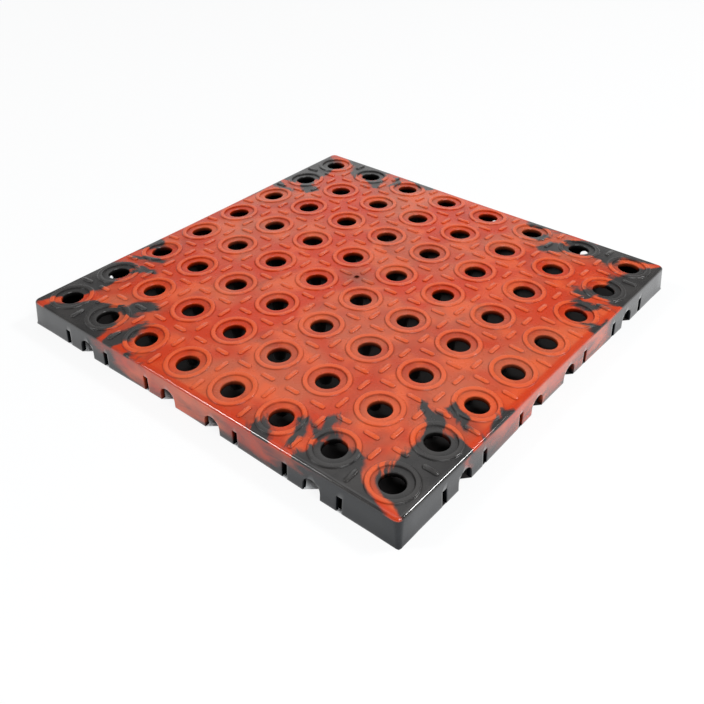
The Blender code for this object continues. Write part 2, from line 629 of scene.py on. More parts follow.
@dataclass(frozen=True)
class Cloud:
    """A tint in clouds: their noise, the stretch of it that they fade in over, and their fullest share."""

    noise: Noise
    fade: Step
    fullest: float = 1.0

    def share(self, tree: Tree, place: Socket) -> Scalar:
        """How much of the tint shows at a place."""
        return self.noise.level(tree, place).step(*self.fade, 0.0, self.fullest)


@dataclass(frozen=True)
class Drift:
    """How the flow in the mould pushed a pattern about: its noise, and its reach in hole pitches."""

    noise: Noise
    reach: float

    def moved(self, tree: Tree, place: Socket) -> Socket:
        """Pushes places about in plan.

        Args:
            tree: The material's tree.
            place: Where on the mat.

        Returns:
            Where the pattern is read instead.
        """
        centre = tree.nodes.new("ShaderNodeVectorMath")
        centre.operation = "SUBTRACT"
        centre.inputs[1].default_value = (MIDDLE_OF_NOISE, MIDDLE_OF_NOISE, MIDDLE_OF_NOISE)
        tree.links.new(self.noise.node(tree, place).outputs["Color"], centre.inputs[0])
        move = tree.nodes.new("ShaderNodeVectorMath")
        move.operation = "MULTIPLY_ADD"
        move.inputs[1].default_value = (self.reach, self.reach, 0.0)
        tree.links.new(centre.outputs[0], move.inputs[0])
        tree.links.new(place, move.inputs[2])
        return move.outputs[0]


@dataclass(frozen=True)
class Vein:
    """One charcoal vein in an eighth of the mat, in hole pitches.

    Each end is its distance along the side from the middle, then out from the mat's middle.
    """

    start: Place
    end: Place
    width: float

    def distance(self, along: Scalar, out: Scalar) -> Scalar:
        """Measures from the vein's edge.

        Args:
            along: Distance along the side from its middle.
            out: Distance out from the mat's middle.

        Returns:
            The distance, below zero inside the vein.
        """
        run = (self.end[0] - self.start[0], self.end[1] - self.start[1])
        squared = run[0] ** 2 + run[1] ** 2
        from_start = (along - self.start[0], out - self.start[1])
        share = from_start[0] * (run[0] / squared) + from_start[1] * (run[1] / squared)
        share = share.most(0.0).least(1.0)
        across = from_start[0] - share * run[0]
        beyond = from_start[1] - share * run[1]
        return (across * across + beyond * beyond).math("SQRT") - self.width


@dataclass(frozen=True)
class MarbledCompound:
    """Red compound with charcoal pushed out to the corners, satin from the mould.

    Places on the mat are in hole pitches. A pair is the stretch that one look turns to the next over.
    """

    name: str
    pitch: float
    # Colours of the two compounds
    red: Colour = (0.53, 0.034, 0.002)
    bloomed_red: Colour = (0.49, 0.100, 0.044)
    deep_red: Colour = (0.38, 0.036, 0.010)
    bright_red: Colour = (0.73, 0.110, 0.028)
    smoked: Colour = (0.20, 0.050, 0.030)
    scorched: Colour = (0.16, 0.065, 0.045)
    charcoal: Colour = (0.021, 0.020, 0.020)
    grey_charcoal: Colour = (0.058, 0.054, 0.051)
    side_charcoal: Colour = (0.012, 0.014, 0.017)
    # Tints of the red and of the charcoal on the deck
    red_drift: Drift = Drift(Noise(0.7, 2.0), 0.8)
    bloom: Cloud = Cloud(Noise(0.9, 2.0), (0.42, 0.66))
    deepening: Cloud = Cloud(Noise(0.62, 3.0), (0.50, 0.78), 0.55)
    smoke: Cloud = Cloud(Noise(1.5, 3.0, 0.6), (0.52, 0.74), 0.32)
    brightening: Cloud = Cloud(Noise(1.7, 2.0), (0.46, 0.70), 0.7)
    fringe: Step = (0.34, -0.02)
    fringe_share: float = 0.5
    fringe_specks: Cloud = Cloud(Noise(3.0, 3.0), (0.35, 0.65))
    border: Step = (3.83, 3.89)
    border_share: float = 0.8
    scorch_radius: float = 0.55
    scorch_share: float = 0.55
    dust: Cloud = Cloud(Noise(2.2, 3.0), (0.35, 0.7), 0.4)
    # Painted shade in the creases, and a painted highlight and sheen on the raised tops
    crease_shade: float = 0.55
    top_highlight: float = 0.70
    charcoal_top_sheen: float = 0.28
    # Where the charcoal lies on the deck
    veins: tuple[Vein, ...] = (
        Vein((2.60, 3.78), (3.74, 3.78), 0.41),
        Vein((2.12, 3.08), (2.20, 3.32), 0.11),
        Vein((1.82, 3.34), (1.97, 4.05), 0.06),
        Vein((1.30, 3.92), (1.66, 4.02), 0.10),
        Vein((2.30, 3.30), (2.62, 3.52), 0.11),
    )
    vein_edge: Step = (0.06, -0.04)
    broad_drift: Drift = Drift(Noise(0.95, 1.0), 0.62)
    fine_drift: Drift = Drift(Noise(3.4, 4.0), 0.30)
    between_quarters: Step = (-0.4, 0.4)
    teeth: Noise = Noise(1.0, 4.0)
    tooth_size: Triple = (0.8, 0.17, 1.0)
    tooth_reach: float = 0.55
    streak_width: float = 0.125
    streak_lean: float = 0.28
    streak_wander: Noise = Noise(1.3, 1.0)
    wander_reach: float = 0.9
    # Marbling of the sides
    side_from: Step = (3.89, 3.91)
    side_under: Step = (0.454, 0.434)
    side_curls: Noise = Noise(1.0, 2.5, 0.9)
    side_slant: Triple = (0.35, -0.35, 0.0)
    side_stretch: Triple = (1.1, 1.1, 3.2)
    side_contrast: float = 4.0
    side_mix: Step = (-0.9, 0.9)
    corner_from: float = 1.70
    corner_gain: float = 1.7
    corner_range: Step = (-0.5, 1.8)
    foot_share: float = 0.82
    foot_fall: float = 3.2
    # Gloss
    rim_from: Step = (3.905, 3.925)
    roughness: float = 0.28
    roughness_spread: float = 0.16
    smears: Noise = Noise(5.0, 3.0)
    side_polish: float = 0.18
    deck_mirror: float = 0.5
    red_mirror: float = 0.32
    rim_mirror: float = 0.72
    side_mirror: float = 0.17
    coat_roughness: float = 0.12
    coat_ior: float = 1.31
    foot_dust: Step = (0.08, 0.30)
    dusty_coat: float = 0.70
    # Relief of the mould's skin
    grain: Noise = Noise(55.0, 2.0)
    grain_share: float = 0.10
    wave: Noise = Noise(2.6, 1.0)
    wave_share: float = 0.9
    bump_strength: float = 0.35
    bump_metres: float = 0.0006

    def material(self) -> bpy.types.Material:
        """Makes the finish, on Object coordinates.

        Returns:
            The procedural material.
        """
        made, shader = new_finish(self.name)
        tree = made.node_tree
        place = in_pitches(tree, self.pitch)
        side = self._on_side(tree, place)
        distance = self._from_charcoal(tree, place)
        deck_share = distance.step(*self.vein_edge) * side.rest()
        charcoal = deck_share + side * self._side_share(tree, place)
        colour = blend(tree, charcoal, self._red(tree, place, distance), self._grey(tree, place))
        # Painted shade: creases, bores, the insides of the wall's cuts and the gate scar are darkened
        # towards black.
        creases = (self._read_painted_light(tree) * -self.crease_shade).most(0.0)
        feed(tree, shader.inputs["Base Color"], blend(tree, creases, colour, BLACK))
        feed(tree, shader.inputs["Normal"], self._grain(tree, place))
        self._polish(shader, place, charcoal)
        return made

    def _polish(self, shader: bpy.types.Node, place: Socket, charcoal: Scalar) -> None:
        """Sets the gloss: satin on the deck, polished at its rim, a clear coat of mould gloss on the sides.

        Args:
            shader: The material's shader.
            place: Where on the mat.
            charcoal: Share of charcoal there.
        """
        tree = charcoal.tree
        side = self._on_side(tree, place)
        rim = self._out(tree, place).step(*self.rim_from)
        # The painted shade also takes the mirror and the coat out of the creases and the cuts.
        open_face = self._read_painted_light(tree).most(-1.0).least(0.0) + 1.0
        smears = self.smears.level(tree, place) * self.roughness_spread
        rough = smears + (self.roughness - self.roughness_spread / 2)
        feed(tree, shader.inputs["Roughness"], rough - rim * self.side_polish)
        mirror = rim * (self.rim_mirror - self.deck_mirror) + side * (self.side_mirror - self.rim_mirror)
        dull = charcoal.rest() * rim.rest() * (self.red_mirror - self.deck_mirror)
        feed(tree, shader.inputs["Specular IOR Level"], (mirror + dull + self.deck_mirror) * open_face)
        clean = split_place(tree, place)[2].step(*self.foot_dust, self.dusty_coat, 1.0)
        feed(tree, shader.inputs["Coat Weight"], side * open_face * clean)
        shader.inputs["Coat Roughness"].default_value = self.coat_roughness
        shader.inputs["Coat IOR"].default_value = self.coat_ior

    @staticmethod
    def _out(tree: Tree, place: Socket) -> Scalar:
        """Distance out from the mat's middle towards the nearest side."""
        x, y, _ = split_place(tree, place)
        return abs(x).most(abs(y))

    @staticmethod
    def _read_painted_light(tree: Tree) -> Scalar:
        """Reads the painted light on a piece: below zero for painted shade in the creases of its relief, up
        to one for a painted highlight on its raised tops.

        Args:
            tree: The material's tree.

        Returns:
            The painted light and shade.
        """
        node = tree.nodes.new("ShaderNodeAttribute")
        node.attribute_name = PAINTED_LIGHT
        return Scalar(tree, node.outputs["Fac"])

    def _on_side(self, tree: Tree, place: Socket) -> Scalar:
        """One on the mat's upright sides, nothing on its deck."""
        height = split_place(tree, place)[2]
        return self._out(tree, place).step(*self.side_from) * height.step(*self.side_under)

    def _from_charcoal(self, tree: Tree, place: Socket) -> Scalar:
        """Measures from the charcoal: veins in each eighth, torn edges, a red streak to each corner.

        Args:
            tree: The material's tree.
            place: Where on the mat.

        Returns:
            The distance, below zero in charcoal.
        """
        flowed = self.fine_drift.moved(tree, self.broad_drift.moved(tree, place))
        x, y, _ = split_place(tree, flowed)
        out = abs(x).most(abs(y))
        along = abs(x).least(abs(y))
        distance = self.veins[0].distance(along, out)
        for vein in self.veins[1:]:
            distance = distance.least(vein.distance(along, out))
        torn = self._torn(tree, flowed) * self.tooth_reach
        lean = (x * y).step(*self.between_quarters).rest() * self.streak_lean
        wander = self.streak_wander.swing(tree, place) * self.wander_reach + lean
        streak = abs(abs(x) - abs(y) + wander) * -math.sqrt(0.5) + self.streak_width
        return (distance + torn).most(streak)

    def _torn(self, tree: Tree, flowed: Socket) -> Scalar:
        """Gives ragged teeth, drawn out along the flow from the middle to each corner.

        Args:
            tree: The material's tree.
            flowed: Where the pattern is read.

        Returns:
            The teeth as a number round zero.
        """
        x, y, _ = split_place(tree, flowed)
        facing = (x * y).step(*self.between_quarters)
        teeth = []
        for turn in (math.pi / 4, -math.pi / 4):
            node = tree.nodes.new("ShaderNodeMapping")
            node.vector_type = "TEXTURE"
            node.inputs["Rotation"].default_value = (0.0, 0.0, turn)
            node.inputs["Scale"].default_value = self.tooth_size
            tree.links.new(flowed, node.inputs["Vector"])
            teeth.append(self.teeth.swing(tree, node.outputs[0]))
        return teeth[0] * facing + teeth[1] * facing.rest()

    def _side_share(self, tree: Tree, place: Socket) -> Scalar:
        """Gives the charcoal on the sides: smoky red at mid-side, greyer to the corners and the foot.

        Args:
            tree: The material's tree.
            place: Where on the mat.

        Returns:
            The share of charcoal.
        """
        x, y, z = split_place(tree, place)
        drawn_out = tree.nodes.new("ShaderNodeMapping")
        drawn_out.inputs["Rotation"].default_value = self.side_slant
        drawn_out.inputs["Scale"].default_value = self.side_stretch
        tree.links.new(self.broad_drift.moved(tree, place), drawn_out.inputs["Vector"])
        curls = self.side_curls.swing(tree, drawn_out.outputs[0]) * self.side_contrast
        to_corner = (abs(x).least(abs(y)) - self.corner_from) * self.corner_gain
        corner = to_corner.most(self.corner_range[0]).least(self.corner_range[1])
        foot = z * -self.foot_fall + self.foot_share
        return (curls + corner + foot).step(*self.side_mix)

    def _grey(self, tree: Tree, place: Socket) -> Socket:
        """Mixes the charcoal: dusty in clouds on the deck, with a painted sheen on its raised tops, plain on
        the sides.

        Args:
            tree: The material's tree.
            place: Where on the mat.

        Returns:
            Its colour.
        """
        painted_light = (self._read_painted_light(tree) * self.charcoal_top_sheen).most(0.0)
        # Dust in clouds, and a painted sheen on the raised tops.
        dusty = self.dust.share(tree, place).most(painted_light)
        grey = blend(tree, dusty, self.charcoal, self.grey_charcoal)
        return blend(tree, self._on_side(tree, place), grey, self.side_charcoal)

    def _red(self, tree: Tree, place: Socket, distance: Scalar) -> Socket:
        """Mixes the red: clouds of flow, a painted highlight on raised tops, smoke near charcoal, a deep
        border, a scorch round the gate.

        Args:
            tree: The material's tree.
            place: Where on the mat.
            distance: Distance from the charcoal.

        Returns:
            Its colour.
        """
        flowed = self.red_drift.moved(tree, place)
        colour = blend(tree, self.bloom.share(tree, flowed), self.red, self.bloomed_red)
        colour = blend(tree, self.deepening.share(tree, flowed), colour, self.deep_red)
        fringe = distance.step(*self.fringe, 0.0, self.fringe_share)
        fringe = fringe * self.fringe_specks.share(tree, flowed)
        colour = blend(tree, self.smoke.share(tree, flowed).most(fringe), colour, self.smoked)
        # Painted highlight on the raised tops, with brighter clouds at random.
        painted_light = (self._read_painted_light(tree) * self.top_highlight).most(0.0)
        colour = blend(tree, self.brightening.share(tree, flowed).most(painted_light), colour, self.bright_red)
        border = self._out(tree, place).step(*self.border) * self._on_side(tree, place).rest()
        colour = blend(tree, border * self.border_share, colour, self.red)
        x, y, _ = split_place(tree, flowed)
        radius = (x * x + y * y).math("SQRT")
        scorch = radius.step(self.scorch_radius, 0.0, 0.0, self.scorch_share)
        return blend(tree, scorch, colour, self.scorched)

    def _grain(self, tree: Tree, place: Socket) -> Socket:
        """Lays fine mould grain over a faint waviness.

        Args:
            tree: The material's tree.
            place: Where on the mat.

        Returns:
            The bumped normal.
        """
        fine = self.grain.level(tree, place) * self.grain_share
        wave = self.wave.level(tree, place) * self.wave_share
        bump = tree.nodes.new("ShaderNodeBump")
        bump.inputs["Strength"].default_value = self.bump_strength
        bump.inputs["Distance"].default_value = self.bump_metres
        feed(tree, bump.inputs["Height"], fine + wave)
        return bump.outputs["Normal"]


@dataclass(frozen=True)
class CharcoalCompound:
    """Plain charcoal compound of the feet under the deck, dusty in places."""

    name: str
    pitch: float
    dark: Colour = (0.020, 0.020, 0.021)
    dusty: Colour = (0.050, 0.049, 0.048)
    dust: Cloud = Cloud(Noise(2.2, 3.0), (0.4, 0.7))
    roughness: float = 0.45
    dust_roughness: float = 0.12

    def material(self) -> bpy.types.Material:
        """Makes the finish, on Object coordinates.

        Returns:
            The procedural material.
        """
        made, shader = new_finish(self.name)
        tree = made.node_tree
        dust = self.dust.share(tree, in_pitches(tree, self.pitch))
        feed(tree, shader.inputs["Base Color"], blend(tree, dust, self.dark, self.dusty))
        feed(tree, shader.inputs["Roughness"], dust * self.dust_roughness + self.roughness)
        return made


@dataclass
class Deck:
    """Crowned plate of drain holes, each with a recess inside a raised collar.

    Each ring of the collar has its radius, its height over the deck and its painted light: below zero for
    painted shade in the creases and the bore, above zero for a painted highlight on the collar's top and the
    bore's lip.
    """

    outline: Outline
    finish: bpy.types.Material
    edge_facets: int = 11
    facet_length: float = 0.00031
    first_tilt: float = 6.0
    tilt_step: float = 8.0
    collar: tuple[PaintedLightRing, ...] = (
        (0.0200, 0.0, 0.0), (0.0193, 0.00005, -0.3), (0.0190, 0.0003, -0.5), (0.0188, 0.0008, 0.0),
        (0.0185, 0.0010, 0.8), (0.0181, 0.00102, 1.0), (0.0156, 0.00102, 1.0), (0.0152, 0.0009, 0.6),
        (0.0150, 0.0005, -0.1), (0.01485, -0.0002, -0.6), (0.0146, -0.0004, -0.5), (0.0142, -0.00042, -0.2),
        (0.0103, -0.00042, 0.0), (0.0098, -0.0005, 0.5), (0.0095, -0.0009, 0.0), (0.0093, -0.0016, -1.2),
        (0.0092, -0.0041, -1.7), (0.0095, -0.0045, -1.0),
    )

    def build(self) -> bpy.types.Object:
        """Builds the plate and dresses it."""
        mesh = self._trim_edge(self._drain_field(self._drain_cell()))
        return add_piece("deck_plate", mesh, self.finish, ["deck"])

    def _drain_cell(self) -> bpy.types.Mesh:
        """Makes one square of deck round one drain hole, its top at height zero.

        Returns:
            The cell, open at its four edges.
        """
        half = self.outline.pitch / 2
        count = self.outline.points_per_cell
        corners = [(half, -half), (half, half), (-half, half), (-half, -half)]
        square: list[Place] = []
        for start, end in zip(corners, corners[1:] + corners[:1]):
            for step in range(count):
                share = step / count
                square.append((start[0] + (end[0] - start[0]) * share,
                               start[1] + (end[1] - start[1]) * share))
        work = bmesh.new()
        # Every vertex carries its ring's painted light and shade.
        relief = work.verts.layers.float.new(PAINTED_LIGHT)
        rings = [[work.verts.new((x, y, 0.0)) for x, y in square]]
        for radius, height, painted_light in self.collar:
            ring = []
            for number in range(4 * count):
                angle = 2 * math.pi * number / (4 * count) - math.pi / 4
                vert = work.verts.new((radius * math.cos(angle), radius * math.sin(angle), height))
                vert[relief] = painted_light
                ring.append(vert)
            rings.append(ring)
        rings.append([work.verts.new((x, y, -self.outline.deck_thickness)) for x, y in square])
        loft(work, rings)
        mesh = bpy.data.meshes.new("drain_cell")
        work.to_mesh(mesh)
        work.free()
        return mesh

    def _drain_field(self, cell: bpy.types.Mesh) -> bpy.types.Mesh:
        """Repeats the cell over the deck and crowns it.

        Args:
            cell: One square of deck.

        Returns:
            The field, open at its square edge.
        """
        source = linked_object("drain_cell", cell)
        tree = GrowTree("drain_field")
        holes = tree.count("Holes Per Side", self.outline.holes)
        span = tree.size("Field Span", self.outline.pitch * (self.outline.holes - 1))
        cells = tree.scatter(tree.grid((span, span), (holes, holes)), tree.shape("Drain Cell", source))
        joined = tree.node("GeometryNodeMergeByDistance", Geometry=tree.realize(cells),
                           Distance=WELD_DISTANCE)
        rise = tree.crown(self.outline) + tree.size("Edge Height", self.outline.edge_height)
        mesh = tree.grow(tree.lift(joined.outputs["Geometry"], rise), self.finish)
        bpy.data.objects.remove(source, do_unlink=True)
        return mesh

    def _edge_round(self) -> list[Step]:
        """Works out the rounded edge over the sides.

        Returns:
            How far each facet of it runs out and down, from the deck on.
        """
        tilts = [math.radians(self.first_tilt + self.tilt_step * facet) for facet in range(self.edge_facets)]
        return [(self.facet_length * math.cos(tilt), self.facet_length * math.sin(tilt)) for tilt in tilts]

    def _trim_edge(self, field_mesh: bpy.types.Mesh) -> bpy.types.Mesh:
        """Pulls the field's square edge onto the rounded outline and rounds it over.

        Args:
            field_mesh: The field of cells.

        Returns:
            The closed plate.
        """
        work = bmesh.new()
        work.from_mesh(field_mesh)
        underside = self.outline.underside
        middle = (self.outline.edge_height + underside) / 2
        upper: dict[Place, bmesh.types.BMVert] = {}
        lower: dict[Place, bmesh.types.BMVert] = {}
        for vert in work.verts:
            if vert.is_boundary:
                side = upper if vert.co.z > middle else lower
                side[(round(vert.co.x, 5), round(vert.co.y, 5))] = vert
        order = sorted(upper, key=lambda place: math.atan2(place[1], place[0]))
        facets = self._edge_round()
        inset = sum(run for run, _ in facets)
        height = self.outline.edge_height
        for place in order:
            upper[place].co = self.outline.rim_place(place, inset, height)
            lower[place].co = self.outline.rim_place(place, 2 * inset, underside)
        rings = [[upper[place] for place in order]]
        levels = []
        for run, drop in facets:
            inset -= run
            height -= drop
            levels.append((inset, height))
        for inset, height in (*levels, (0.0, underside)):
            rings.append([work.verts.new(self.outline.rim_place(place, inset, height)) for place in order])
        rings.append([lower[place] for place in order])
        loft(work, rings)
        return mesh_from("deck_plate", work)


@dataclass
class Skirt:
    """Leaning wall round the mat, with slots and round-topped arches in its lower edge."""

    outline: Outline
    finish: bpy.types.Material
    # Wall
    wall: float = 0.0040
    wall_rows: tuple[float, ...] = (1.0, 0.66, 0.33)
    foot_round: float = 0.0006
    foot_ease: float = 0.3
    lip: float = 0.0009
    lip_height: float = 0.0020
    corner_from: float = 0.9
    # Slots and arches
    cut_head: float = 0.0139
    cut_below: float = 0.001
    slot_width: float = 0.0050
    arch_width: float = 0.0162
    slot_lines: tuple[float, ...] = (-3.0, -2.0, -1.0, 1.0, 2.0, 3.0)
    arch_lines: tuple[float, ...] = (-2.5, -0.5, 0.5, 2.5)
    arch_steps: int = 14
    cut_angle: float = 50.0
    face_slack: float = 0.00015
    edge_bevel: float = 0.0004
    # A thin skin is left at the back of each slot and takes the painted shade, so the slot reads dark with
    # no floor seen through it.
    painted_shade_skin: float = 0.0005
    # Painted shade on the insides of the cuts and the wall, full from this depth behind the outer face.
    inner_painted_shade: float = 1.7
    painted_shade_depth: float = 0.0005
    nodes: tuple[str, ...] = (
        "skirt_front", "skirt_right", "skirt_back", "skirt_left", "corner_front_left",
        "corner_front_right", "corner_back_right", "corner_back_left",
    )

    def build(self) -> bpy.types.Object:
        """Builds the wall and dresses it.

        Returns:
            The piece.
        """
        ring = linked_object("skirt_ring", self._ring())
        cutters = linked_object("skirt_cuts", self._cuts())
        cut = ring.modifiers.new("cuts", "BOOLEAN")
        cut.operation = "DIFFERENCE"
        cut.solver = "EXACT"
        cut.object = cutters
        mesh = self._ease_cuts(evaluated_mesh(ring))
        for item in (ring, cutters):
            bpy.data.objects.remove(item, do_unlink=True)
        return add_piece("skirt_wall", mesh, self.finish, self.nodes)

    def _edge_places(self) -> list[Place]:
        """Walks round the square field's edge.

        Returns:
            Its points, in order.
        """
        half = self.outline.cell_half_side
        count = self.outline.holes * self.outline.points_per_cell
        places: list[Place] = []
        for side in Side:
            turn = Matrix.Rotation(side.angle, 2)
            for step in range(count):
                x, y = turn @ Vector((-half + 2 * half * step / count, -half))
                places.append((x, y))
        return places

    def _lip(self, place: Place, height: float) -> float:
        """Says how far the thin lip at the foot of a corner stands out.

        Args:
            place: A point of the square field's edge.
            height: Height over the floor.

        Returns:
            The distance, nothing between the corners and over the lip.
        """
        along = min(abs(place[0]), abs(place[1])) / self.outline.cell_half_side
        near_corner = max(0.0, along - self.corner_from) / (1 - self.corner_from)
        return self.lip * near_corner * max(0.0, 1 - height / self.lip_height)

    def _ring(self) -> bpy.types.Mesh:
        """Makes the wall without its cuts.

        Returns:
            A closed ring.
        """
        top = self.outline.underside
        eased = self.foot_round * self.foot_ease
        profile = [(0.0, top * row) for row in self.wall_rows]
        profile += [(0.0, self.lip_height), (0.0, self.foot_round), (eased, eased), (self.foot_round, 0.0),
                    (self.wall - self.foot_round, 0.0), (self.wall, self.foot_round), (self.wall, top)]
        places = self._edge_places()
        work = bmesh.new()
        rings = []
        for inset, height in profile:
            ring = []
            for place in places:
                depth = inset - self._lip(place, height)
                ring.append(work.verts.new(self.outline.rim_place(place, depth, height)))
            rings.append(ring)
        rings.append(rings[0])
        loft(work, rings)
        return mesh_from("skirt_ring", work)

    def _slot(self) -> list[Place]:
        """Draws a square-topped slot.

        Returns:
            Its outline, across and up.
        """
        half = self.slot_width / 2
        bottom = -self.cut_below
        return [(-half, bottom), (half, bottom), (half, self.cut_head), (-half, self.cut_head)]

    def _slot_bottom(self, line: float) -> float:
        """Distance from the mat's middle that a slot is cut in to, short of the wall's inner face by a skin
        painted dark as shade.
        """
        return self.outline.side_face(line * self.outline.pitch, 0.0) - self.wall + self.painted_shade_skin

    def _arch(self) -> list[Place]:
        """Draws a round-topped arch.

        Returns:
            Its outline, across and up.
        """
        half = self.arch_width / 2
        points = [(-half, -self.cut_below), (half, -self.cut_below)]
        for step in range(self.arch_steps + 1):
            angle = math.pi * step / self.arch_steps
            points.append((half * math.cos(angle), self.cut_head - half + half * math.sin(angle)))
        return points

    def _cuts(self) -> bpy.types.Mesh:
        """Makes every slot and arch as a closed block in its wall.

        Returns:
            The blocks.
        """
        near = self.outline.corner_half_side + 2 * self.outline.lean_at_corner
        far = self.outline.middle_half_side - self.wall - self.outline.lean_at_corner
        cuts = [(line, self._slot(), self._slot_bottom(line)) for line in self.slot_lines]
        cuts += [(line, self._arch(), far) for line in self.arch_lines]
        work = bmesh.new()
        for side in Side:
            turn = Matrix.Rotation(side.angle, 3, "Z")
            for line, points, bottom in cuts:
                middle = line * self.outline.pitch
                rings = []
                for depth in (near, bottom):
                    ring = [work.verts.new(turn @ Vector((middle + x, -depth, z))) for x, z in points]
                    rings.append(ring)
                loft(work, rings)
                for ring in rings:
                    work.faces.new(ring)
        return mesh_from("skirt_cuts", work)

    def _ease_cuts(self, mesh: bpy.types.Mesh) -> bpy.types.Mesh:
        """Rounds the edges of the cuts a little and paints shade on the insides of the cuts and of the wall.

        Args:
            mesh: The wall with its cuts.

        Returns:
            The finished wall.
        """
        work = bmesh.new()
        work.from_mesh(mesh)
        bmesh.ops.remove_doubles(work, verts=work.verts, dist=WELD_DISTANCE)
        edges = [edge for edge in work.edges if self._cut_edge(edge)]
        bmesh.ops.bevel(work, geom=edges, offset=self.edge_bevel, segments=2, profile=0.5, affect="EDGES",
                        clamp_overlap=True)
        relief = work.verts.layers.float.new(PAINTED_LIGHT)
        for vert in work.verts:
            vert[relief] = -self._painted_shade(vert.co)
        return mesh_from("skirt_wall", work)

    def _behind_face(self, place: Vector) -> float:
        """How deep a point of the wall lies behind the outer face."""
        x, y, z = (abs(value) for value in place)
        return self.outline.side_face(min(x, y), z) - max(x, y)

    def _painted_shade(self, place: Vector) -> float:
        """Says how much painted shade a point of the wall takes, by its depth between the corners.

        Args:
            place: The point.

        Returns:
            The painted shade, nothing on the outer face and at the corners.
        """
        if min(abs(place.x), abs(place.y)) > self.corner_from * self.outline.half_side:
            return 0.0
        return self.inner_painted_shade * min(1.0, max(0.0, self._behind_face(place) / self.painted_shade_depth))

    def _cut_edge(self, edge: bmesh.types.BMEdge) -> bool:
        """Says whether an edge runs round a cut in the wall's outer face.

        Args:
            edge: The edge.

        Returns:
            True where it is sharp, on the outer face and no higher than the cuts.
        """
        if not edge.is_manifold or edge.calc_face_angle() < math.radians(self.cut_angle):
            return False
        for vert in edge.verts:
            too_high = abs(vert.co.z) > self.cut_head + self.foot_round
            if too_high or self._behind_face(vert.co) > self.face_slack:
                return False
        return True


@dataclass
class TreadBars:
    """Raised bars on the lines between the drain holes, two to a pitch."""

    outline: Outline
    finish: bpy.types.Material
    length: float = 0.0138
    width: float = 0.0045
    height: float = 0.0010
    top_inset: float = 0.00065
    flank_height: float = 0.00065
    flank_inset: float = 0.0002
    sunk: float = 0.0004
    end_steps: int = 5

    def build(self) -> bpy.types.Object:
        """Lays the bars along and across the deck and dresses them.

        Returns:
            The piece.
        """
        source = linked_object("tread_bar", self._bar())
        tree = GrowTree("tread_bars")
        bar = tree.shape("Tread Bar", source)
        pitch = tree.size("Pitch", self.outline.pitch)
        lines = tree.count("Lines", self.outline.holes - 1)
        along = tree.count("Bars Per Line", 2 * self.outline.holes)
        run = pitch * (self.outline.holes - 0.5)
        spread = pitch * float(self.outline.holes - 2)
        lengthwise = tree.scatter(tree.grid((run, spread), (along, lines)), bar)
        crosswise = tree.scatter(tree.grid((spread, run), (lines, along)), bar, math.pi / 2)
        gathered = tree.tree.nodes.new("GeometryNodeJoinGeometry")
        for placed in (lengthwise, crosswise):
            tree.tree.links.new(placed, gathered.inputs["Geometry"])
        rise = tree.crown(self.outline) + tree.size("Edge Height", self.outline.edge_height)
        mesh = tree.grow(tree.lift(tree.realize(gathered.outputs["Geometry"]), rise), self.finish)
        bpy.data.objects.remove(source, do_unlink=True)
        return add_piece("tread_bars", mesh, self.finish, [], smooth_angle=60.0)

    def _bar(self) -> bpy.types.Mesh:
        """Makes one bar with round ends and eased upper edges, its foot sunk into the deck.

        Returns:
            The bar, lying along X.
        """
        # Each row carries its painted light: painted shade at the sunk foot, a painted highlight on the top.
        rows = ((0.0, -self.sunk, -1.0), (self.flank_inset, self.flank_height, 0.0),
                (self.top_inset, self.height, 1.0))
        straight = (self.length - self.width) / 2
        work = bmesh.new()
        relief = work.verts.layers.float.new(PAINTED_LIGHT)
        rings = []
        for inset, height, painted_light in rows:
            radius = self.width / 2 - inset
            ring = []
            for end in (1, -1):
                for step in range(self.end_steps + 1):
                    angle = math.pi * step / self.end_steps - math.pi / 2
                    x = end * (straight + radius * math.cos(angle))
                    y = end * radius * math.sin(angle)
                    vert = work.verts.new((x, y, height))
                    vert[relief] = painted_light
                    ring.append(vert)
            rings.append(ring)
        loft(work, rings)
        work.faces.new(rings[-1])
        work.faces.new(rings[0])
        return mesh_from("tread_bar", work)


@dataclass
class SupportFeet:
    """Tapered feet under the crossings of the lines between holes."""

    outline: Outline
    finish: bpy.types.Material
    rows: int = 7
    sides: int = 16
    profile: tuple[Ring, ...] = (
        (0.0047, 0.0), (0.0053, 0.00015), (0.0055, 0.0007), (0.0063, 0.0146), (0.0068, 0.0179),
        (0.0078, 0.0194), (0.0090, 0.0200),
    )
    drawn_up: Step = (0.002, 0.0166)

    def build(self) -> bpy.types.Object:
        """Stands the feet in rows, draws their roots up to the crown and dresses them.

        Returns:
            The piece.
        """
        source = linked_object("support_foot", lathe("support_foot", self.profile, self.sides))
        tree = GrowTree("support_feet")
        span = tree.size("Span", self.outline.pitch * (self.rows - 1))
        rows = tree.count("Rows", self.rows)
        feet = tree.scatter(tree.grid((span, span), (rows, rows)), tree.shape("Support Foot", source))
        rise = tree.crown(self.outline) * tree.place()[2].step(*self.drawn_up)
        mesh = tree.grow(tree.lift(tree.realize(feet), rise), self.finish)
        bpy.data.objects.remove(source, do_unlink=True)
        numbers = range(1, self.rows + 1)
        nodes = [f"foot_row{row}_col{column}" for row in numbers for column in numbers]
        return add_piece("support_feet", mesh, self.finish, nodes, smooth_angle=60.0)


